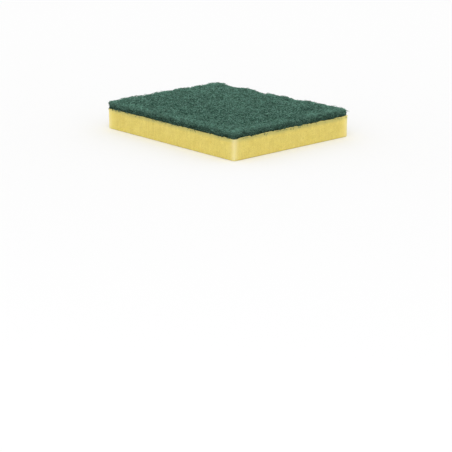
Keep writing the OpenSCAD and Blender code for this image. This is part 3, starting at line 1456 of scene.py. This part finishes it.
    def _cut_edge(self, batch: StrandBatch, rng: np.random.Generator) -> Array:
        """Mats strands along the cut edge, a few of them hanging over the bond.

        Args:
            batch: what the strands are like.
            rng: source of random draws.

        Returns:
            Their centre lines.
        """
        around, count = self.surface.outline.perimeter(), batch.count
        middles = np.stack([rng.uniform(0, around, count), rng.uniform(*self.edge_band, count)], -1)
        middles[:, 1] *= self.surface.rim_height(middles[:, 0])
        lengths = batch.draw(rng, batch.length, count)
        headings = rng.normal(0, self.edge_lean, count) + math.pi * rng.integers(0, 2, count)
        flat = self._crimped(rng, lengths, headings, self.curl_edge) + middles[:, None]
        drop = rng.exponential(self.usual_drop, (count, 1)).clip(0, self.longest_drop)
        hangs = drop > self.least_drop
        limit = np.where(hangs, drop + self.hang.at(flat[..., 0], np.zeros_like(flat[..., 0])), 0)
        rim = self.surface.rim_height(flat[..., 0]) + self.over_rim
        inside = (flat[..., 1] > -limit) & (flat[..., 1] < rim)
        flat, kept = self._cut(flat, inside, batch.segments)
        lift = batch.draw(rng, batch.lift, len(flat))[:, None]
        out = lift + self._weave(rng, flat, self.weave_edge)
        along, level = flat[..., 0], flat[..., 1]
        low = (self.hang_start - level) / (self.hang_start - self.hang_full)
        low = ease(np.clip(low, 0, 1)) * hangs[kept]
        tucked = (self.lip(along / around) - level) / self.tuck_span + 1
        tucked = ease(np.clip(tucked, 0, 1)) * ~hangs[kept]
        out = out * (1 - low) + self.on_foam * low - self.tuck * tucked
        return self.surface.edge(along, level / self.surface.rim_height(along), out)

    def _stubble(self, batch: StrandBatch, rng: np.random.Generator) -> Array:
        """Stands short cut ends out of the cut edge, all above the foam's lip.

        Args:
            batch: what the strands are like.
            rng: source of random draws.

        Returns:
            Their centre lines.
        """
        surface, count = self.surface, batch.count
        along = self._round_the_rim(rng, count)
        share = rng.uniform(*self.edge_band, count)
        lengths = batch.draw(rng, batch.length, count)
        to_cut = rng.random(count) < self.cut_share
        lengths += np.where(to_cut, self.cut_fill * surface.inset(along, share), 0)
        sideways, upward = rng.normal(0, np.where(to_cut, *self.cut_slant), (2, count))
        s = np.linspace(0, 1, batch.segments + 1)
        inward = batch.draw(rng, batch.lift, count)
        out = inward[:, None] + lengths[:, None] * s * np.cos(sideways)[:, None]
        rise = lengths[:, None] * s**2 * self.cut_rise * upward[:, None]
        shares = share[:, None] + rise / surface.rim_height(along)[:, None]
        alongs = along[:, None] + lengths[:, None] * s**self.cut_turn * np.sin(sideways)[:, None]
        paths = surface.edge(alongs, shares, out)
        lip = surface.bottom + self.lip(along / surface.outline.perimeter())
        return paths[paths[..., 2].min(axis=1) > lip + self.lip_margin]

    def _round_the_rim(self, rng: np.random.Generator, count: int) -> Array:
        """Picks random places along the outline, many of them in tufts, also at the corners.

        Args:
            rng: source of random draws.
            count: how many places there are.

        Returns:
            Distances along the outline.
        """
        outline = self.surface.outline
        around = outline.perimeter()
        sides = 2 * np.array([outline.half_width, outline.half_length] * 2)
        corners = np.concatenate([[0], np.cumsum(sides - 2 * outline.radius)[:-1]])
        corners += outline.radius * math.pi / 2 * (np.arange(4) + 0.5)
        draws = np.random.default_rng(self.tuft_seed)
        tufts = np.concatenate([np.repeat(corners, self.corner_tufts), draws.uniform(0, around, self.tufts)])
        gathered = tufts[rng.integers(0, len(tufts), count)] + rng.normal(0, self.tuft_spread, count)
        spread = rng.uniform(0, around, count)
        return np.where(rng.random(count) < self.tuft_share, gathered, spread)

    def _loose(self, batch: StrandBatch, rng: np.random.Generator) -> Array:
        """Arches loose ends up from the top, more of them along its rim.

        Args:
            batch: what the strands are like.
            rng: source of random draws.

        Returns:
            Their centre lines.
        """
        outline, count = self.surface.outline, batch.count
        inner = rng.uniform(-outline.half, outline.half, (count // self.inner_part, 2))
        rim, normals = outline.walk(self._round_the_rim(rng, count - len(inner)))
        rim = rim - normals * rng.exponential(self.rim_scatter, len(rim))[:, None]
        starts = outline.pulled_in(np.concatenate([inner, rim]), self.root_margin)
        lengths = batch.draw(rng, batch.length, count)
        heading = rng.uniform(0, 2 * math.pi, count)
        bend = rng.normal(0, self.loose_bend, count)
        climb = rng.uniform(*self.loose_climb, count)
        s = np.linspace(0, 1, batch.segments + 1)[None]
        angle = heading[:, None] + bend[:, None] * s
        slope = climb[:, None] * (1 - self.loose_droop * s)
        step = np.stack([np.cos(angle) * np.cos(slope), np.sin(angle) * np.cos(slope), np.sin(slope)], -1)
        step *= (lengths / batch.segments)[:, None, None]
        path = np.cumsum(step, axis=1) - step[:, :1]
        flat = path[..., :2] + starts[:, None]
        base = self.surface.napped(flat[:, :1]) + batch.draw(rng, batch.lift, count)[:, None]
        near = outline.depth(flat).min(axis=1) > -self.loose_past
        return with_height(flat, base + path[..., 2])[near]


@dataclass
class ScouringWeb:
    """The scouring web: a core coloured dark as painted shade of its deep inside, with strands, cut ends,
    loose ends and grit over it.

    Args:
        surface: the web's outer surface.
        lip: height of the foam's lip, by share of the way round.
        core_depth: how far the core lies inside the surface.
        core_pitch: spacing of the core's mesh on top.
        core_base_pitch: spacing of its mesh on the foam.
        core_relief: unevenness of its top.
        core_hollow: how far its cut edge is drawn in halfway up.
        core_bands: heights of the rows down its cut edge, as shares.
        core_rims: mesh lines near its rims, as shares of the corner radius.
        grit_count: grains on the top.
        grit_edge_part: how many of those there are for one on the cut edge.
        grit_radius: least and greatest radius of a grain.
        grit_uneven: how much nearer or further than that its corners stand.
        grit_margin: how far inside the outline the grains on the top lie at least.
        grit_lift: lowest and highest middle of a grain over the top.
        grit_out: the same over the cut edge.
        grit_band: where the grains on the cut edge lie, as shares of its height.
        grit_seed: number that picks the grains.
        grit_corners: corners of a grain at a radius of 1.
        grit_faces: places of each face's corners.
        batches: the strands, from the deepest to the loose ends on top.
    """

    surface: WebSurface
    lip: Callable[[Array], Array]
    core_depth: float = 0.55 * MM
    core_pitch: float = 0.62 * MM
    core_base_pitch: float = 6 * MM
    core_relief: Relief = Relief(2.3 * MM, 0.12 * MM, 31)
    core_hollow: float = 0.5 * MM
    core_bands: tuple[float, ...] = (0.75, 0.5, 0.25, 0.0)
    core_rims: tuple[float, ...] = (0.0, 0.25, 0.6)
    grit_count: int = 3600
    grit_edge_part: int = 4
    grit_radius: Span = (0.09 * MM, 0.22 * MM)
    grit_uneven: Span = (0.7, 1.3)
    grit_margin: float = 0.2 * MM
    grit_lift: Span = (-0.25 * MM, 0.08 * MM)
    grit_out: Span = (-0.2 * MM, 0.1 * MM)
    grit_band: Span = (0.05, 1)
    grit_seed: int = 51
    grit_corners: tuple[tuple[int, int, int], ...] = (
        (1, 0, 0), (0, 1, 0), (-1, 0, 0), (0, -1, 0), (0, 0, 1), (0, 0, -1))
    grit_faces: tuple[tuple[int, int, int], ...] = (
        (0, 1, 4), (1, 2, 4), (2, 3, 4), (3, 0, 4), (1, 0, 5), (2, 1, 5), (3, 2, 5), (0, 3, 5))
    # the shade ranges are darker the deeper a batch lies, which is painted shade in the web's depth
    batches: tuple[StrandBatch, ...] = (
        StrandBatch("web_strands_deep", Zone.TOP, 3000, (7, 12), (0.24, 0.32), (-0.60, -0.30),
                    (0.0, 0.40), 41, segments=4),
        StrandBatch("web_strands_middle", Zone.TOP, 5000, (3.5, 7), (0.18, 0.27), (-0.42, -0.08),
                    (0.0, 0.80), 42),
        StrandBatch("web_strands_upper", Zone.TOP, 5900, (2.6, 5.2), (0.20, 0.32), (-0.25, 0.14),
                    (0.08, 1.0), 43, segments=5),
        StrandBatch("web_strands_edge", Zone.CUT_EDGE, 3900, (3.5, 8), (0.17, 0.28), (-0.35, 0.10),
                    (0.0, 0.75), 44),
        StrandBatch("web_cut_ends", Zone.STUBBLE, 4000, (0.45, 1.05), (0.15, 0.24), (-0.50, -0.20),
                    (0.0, 0.75), 45, segments=2),
        StrandBatch("web_loose_ends", Zone.LOOSE, 4600, (1.8, 5.0), (0.19, 0.31), (-0.20, 0.30),
                    (0.30, 1.0), 46, segments=5),
    )
    strand_finish: WebFinish = WebFinish("dyed_strands", (0.013, 0.059, 0.040), (0.314, 0.634, 0.490),
                                         (0.036, 0.105, 0.074), patch_size=2.4 * MM, patch_amount=0.06)
    # painted shade: darker copies of the strands' colours for the cut edge and its cut ends
    shaded_edge_finish: WebFinish = WebFinish("shaded_cut_strands", (0.018, 0.052, 0.034), (0.260, 0.510, 0.400),
                                       (0.030, 0.072, 0.050), patch_amount=0.4)
    # painted shade: the core is coloured dark for the shade deep inside the web
    core_shade_finish: WebFinish = WebFinish("web_core", (0.020, 0.046, 0.035), (0.020, 0.046, 0.035),
                                       (0.010, 0.026, 0.019), grain_size=0.9 * MM, grain_depth=0.4 * MM)
    grit_finish: WebFinish = WebFinish("resin_grit", (0.130, 0.280, 0.220), (0.420, 0.680, 0.580),
                                       (0.080, 0.180, 0.140), roughness=0.5, specular=0.2)

    def build(self) -> list[bpy.types.Object]:
        """Makes the pieces of the web.

        Returns:
            The pieces, core first.
        """
        core = self._core()
        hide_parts(WEB_NODE)
        weaver = Weaver(self.surface, self.lip)
        pieces = [core, *(weaver.lay(batch).build(batch.name) for batch in self.batches), self._grit()]
        for piece in pieces:
            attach(piece, BODY)
        return pieces

    def dress(self, pieces: list[bpy.types.Object]) -> None:
        """Gives each piece its finish.

        Args:
            pieces: the pieces that build made.
        """
        strands, edge, core, grit = (
            finish.material()
            for finish in (self.strand_finish, self.shaded_edge_finish, self.core_shade_finish, self.grit_finish))
        special = {"web_core": core, "web_strands_edge": edge, "web_cut_ends": edge, "web_grit": grit}
        for piece in pieces:
            piece.data.materials.append(special.get(piece.name, strands))

    def _core(self) -> bpy.types.Object:
        """Makes the closed body under the strands, a little inside the CAD solid.

        Returns:
            The piece.
        """
        outline, bottom = self.surface.outline, self.surface.bottom
        flat = outline.rounded(crossings([self._lines(h, outline.radius) for h in outline.half]))
        sunk = flat * (1 - self.core_depth / outline.half)
        relief = self.core_relief.at(flat[..., 0], flat[..., 1])
        z = self.surface.napped(flat) - self.core_depth + relief
        draft = MeshDraft()
        top = draft.add_net(with_height(sunk, z).transpose(1, 0, 2), closed=False)
        rim = np.concatenate([top[0, :-1], top[:-1, -1], top[-1, :0:-1], top[:0:-1, 0]])
        ring = draft.vertices()[rim]
        rows = [rim]
        for share in self.core_bands:
            hollow = 1 - self.core_hollow * math.sin(math.pi * share) / outline.half_width
            band = with_height(ring[:, :2] * hollow, bottom + (ring[:, 2] - bottom) * share)
            rows.append(draft.add_points(band) + np.arange(len(rim)))
        draft.join(np.stack(rows[::-1]), closed=True)
        draft.cap(rows[-1], self.core_base_pitch, upward=False)
        made = draft.build("web_core")
        keep_shade(made.data)
        return made

    def _lines(self, half: float, radius: float) -> Array:
        """Spaces mesh lines across one direction, closer together near the rims.

        Args:
            half: half the web's size in that direction.
            radius: radius of its corners.

        Returns:
            The lines' places.
        """
        inner = half - radius
        middle = np.linspace(-inner, inner, round(2 * inner / self.core_pitch) + 1)
        rim = half - radius * np.array(self.core_rims)
        return np.concatenate([-rim, middle, rim[::-1]])

    def _grit(self) -> bpy.types.Object:
        """Makes the grains of resin and grit that stick to the top and the cut edge.

        Returns:
            The piece.
        """
        rng = np.random.default_rng(self.grit_seed)
        outline = self.surface.outline
        flat = rng.uniform(-outline.half, outline.half, (self.grit_count, 2))
        flat = outline.pulled_in(flat, self.grit_margin)
        lift = rng.uniform(*self.grit_lift, self.grit_count)
        edge_count = self.grit_count // self.grit_edge_part
        along = rng.uniform(0, outline.perimeter(), edge_count)
        out = rng.uniform(*self.grit_out, edge_count)
        side = self.surface.edge(along, rng.uniform(*self.grit_band, edge_count), out)
        middles = np.concatenate([with_height(flat, self.surface.napped(flat) + lift), side])
        corners, faces = np.array(self.grit_corners, float), np.array(self.grit_faces)
        shape = corners * rng.uniform(*self.grit_uneven, (len(middles), *corners.shape))
        shape *= rng.uniform(*self.grit_radius, (len(middles), 1, 1))
        firsts = len(corners) * np.arange(len(middles))[:, None, None]
        draft = MeshDraft()
        draft.add_points(middles[:, None] + shape)
        draft.add_faces((faces[None] + firsts).reshape(-1, 3))
        made = draft.build("web_grit")
        keep_shade(made.data, np.repeat(rng.uniform(0, 1, len(middles)), len(corners)))
        return made


@dataclass(frozen=True)
class FloorFinish(Finish):
    """Plain white paper that shows an even white: less of it near the lamps, and a haze far off.

    Args:
        colour: the paper's own colour, which lights the object.
        bright_spot: where the lamps make it brightest.
        bright_reach: distances from there over which that fades.
        shown_near: colour that the camera sees at the spot.
        shown_far: colour that it sees past the reach.
        haze_reach: distances over which the haze comes up.
        haze_colour: light that the haze adds.
    """

    colour: Colour = (0.88, 0.88, 0.88)
    bright_spot: Place = (0.6, -0.6, 0.0)
    bright_reach: Span = (0.4, 1.4)
    shown_near: Colour = (0.930, 0.930, 0.930)
    shown_far: Colour = (1.0, 1.0, 1.0)
    haze_reach: Span = (0.6, 3.0)
    haze_colour: Colour = (0.14, 0.14, 0.14)

    def material(self) -> bpy.types.Material:
        """Makes the floor's material.

        Returns:
            The material.
        """
        made, sheet, shader = self.start()
        path = sheet.node("ShaderNodeLightPath").outputs
        seen = sheet.math("MAXIMUM", path["Is Camera Ray"], path["Is Glossy Ray"])
        spot = {0: sheet.place(), 1: self.bright_spot}
        away = sheet.node("ShaderNodeVectorMath", spot, operation="DISTANCE").outputs["Value"]
        even = sheet.blend(sheet.ramp(away, *self.bright_reach), rgba(self.shown_near), rgba(self.shown_far))
        far = sheet.math("MULTIPLY", seen, sheet.ramp(away, *self.haze_reach))
        sheet.fill(shader, {
            "Base Color": sheet.blend(seen, rgba(self.colour), even),
            "Emission Color": sheet.blend(far, rgba((0.0, 0.0, 0.0)), rgba(self.haze_colour)),
            "Emission Strength": 1.0, "Roughness": 1.0, "Specular IOR Level": 0.0})
        return made


@dataclass(frozen=True)
class Lamp:
    """One soft lamp that looks at the object.

    Args:
        name: the lamp's name.
        place: where it hangs.
        size: length of its square side.
        power: watts.
    """

    name: str
    place: Place
    size: float
    power: float

    def hang(self, target: Vector) -> None:
        """Makes the lamp.

        Args:
            target: the place that it looks at.
        """
        light = bpy.data.lights.new(self.name, "AREA")
        light.size = self.size
        light.energy = self.power
        made = put_in_scene(self.name, light)
        made.location = self.place
        made.rotation_euler = (target - Vector(self.place)).to_track_quat("-Z", "Y").to_euler()


@dataclass
class Studio:
    """The floor, the light and the camera that was fitted to the photograph.

    Args:
        daylight: strength of the even light from all round.
        floor_size: length of the floor's side.
        floor_gap: how far it lies below the object.
        lamps: the soft lamps.
        aim: the place that they look at.
        camera_place: where the camera stands, in the row frame.
        heading: turn of its view from +Y towards -X, in degrees.
        pitch: how far it looks down, in degrees.
        lens: focal length on the sensor, in millimetres.
        sensor: width of the sensor, in millimetres.
    """

    daylight: float = 0.86
    floor_size: float = 8.0
    floor_gap: float = 0.02 * MM
    lamps: tuple[Lamp, ...] = (
        Lamp("overhead_softbox", (0.45, -0.40, 1.3), 1.0, 3.2),
        Lamp("front_softbox", (0.95, -1.1, 0.55), 0.9, 2.7),
    )
    aim: Place = (0, 0, 0.01)
    camera_place: Place = (0.65425, -0.5941, 0.2041)
    heading: float = 47.785
    pitch: float = 16.506
    lens: float = 121.99
    sensor: float = 36.0

    def build(self) -> None:
        """Makes the floor, the world, the lamps and the camera."""
        self._floor()
        self._world()
        for lamp in self.lamps:
            lamp.hang(Vector(self.aim))
        self._camera()
        bpy.context.scene.view_settings.view_transform = "Standard"

    def _floor(self) -> None:
        """Makes a wide white floor under the object, which isn't part of it."""
        half = self.floor_size / 2
        corners = [(-half, -half), (half, -half), (half, half), (-half, half)]
        mesh = bpy.data.meshes.new("floor")
        mesh.from_pydata([(x, y, -self.floor_gap) for x, y in corners], [], [(0, 1, 2, 3)])
        mesh.materials.append(FloorFinish("white_paper").material())
        floor = put_in_scene("floor", mesh)

    def _world(self) -> None:
        """Makes even light from all round, shown as plain white."""
        world = bpy.data.worlds.new("studio_air")
        bpy.context.scene.world = world
        world.use_nodes = True
        world.node_tree.nodes.clear()
        sheet = NodeSheet(world.node_tree)
        path = sheet.node("ShaderNodeLightPath").outputs
        seen = sheet.math("MAXIMUM", path["Is Camera Ray"], path["Is Transmission Ray"])
        seen = sheet.math("MAXIMUM", seen, path["Is Glossy Ray"])
        strength = sheet.math("MULTIPLY_ADD", seen, 1.0 - self.daylight, self.daylight)
        air = sheet.node("ShaderNodeBackground", {"Color": rgba((1, 1, 1)), "Strength": strength})
        sheet.node("ShaderNodeOutputWorld", {"Surface": air.outputs[0]})

    def _camera(self) -> None:
        """Stands the camera at the photograph's viewpoint."""
        turn, tilt = math.radians(self.heading), math.radians(self.pitch)
        ahead = Vector((-math.sin(turn) * math.cos(tilt), math.cos(turn) * math.cos(tilt), -math.sin(tilt)))
        lens = bpy.data.cameras.new("camera")
        lens.lens = self.lens
        lens.sensor_width = self.sensor
        made = put_in_scene("camera", lens)
        made.location = self.camera_place
        made.rotation_euler = ahead.to_track_quat("-Z", "Y").to_euler()
        bpy.context.scene.camera = made


def report(pieces: list[bpy.types.Object]) -> None:
    """Logs each piece with its triangles.

    Args:
        pieces: all the pieces of the object.
    """
    total = 0
    for piece in pieces:
        triangles = sum(len(p.vertices) - 2 for p in piece.data.polygons)
        total += triangles
        log.info("%s: %d triangles", piece.name, triangles)
    log.info("all pieces: %d triangles", total)


def main() -> None:
    """Builds the studio, the foam and the web, in that order."""
    logging.basicConfig(level=logging.INFO, format="%(name)s: %(message)s")
    Studio().build()
    _, foam_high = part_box(FOAM_NODE)
    web_low, web_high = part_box(WEB_NODE)
    block = FoamBlock(RoundedOutline(foam_high.x, foam_high.y, FOAM_CORNER), web_low.z)
    foam = block.build()
    block.dress(foam)
    web_corner = FOAM_CORNER - (foam_high.x - web_high.x)
    web = ScouringWeb(WebSurface(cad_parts[WEB_NODE], web_corner), block.lip)
    pieces = web.build()
    web.dress(pieces)
    report([foam, *pieces])


if __name__ == "__main__":
    main()
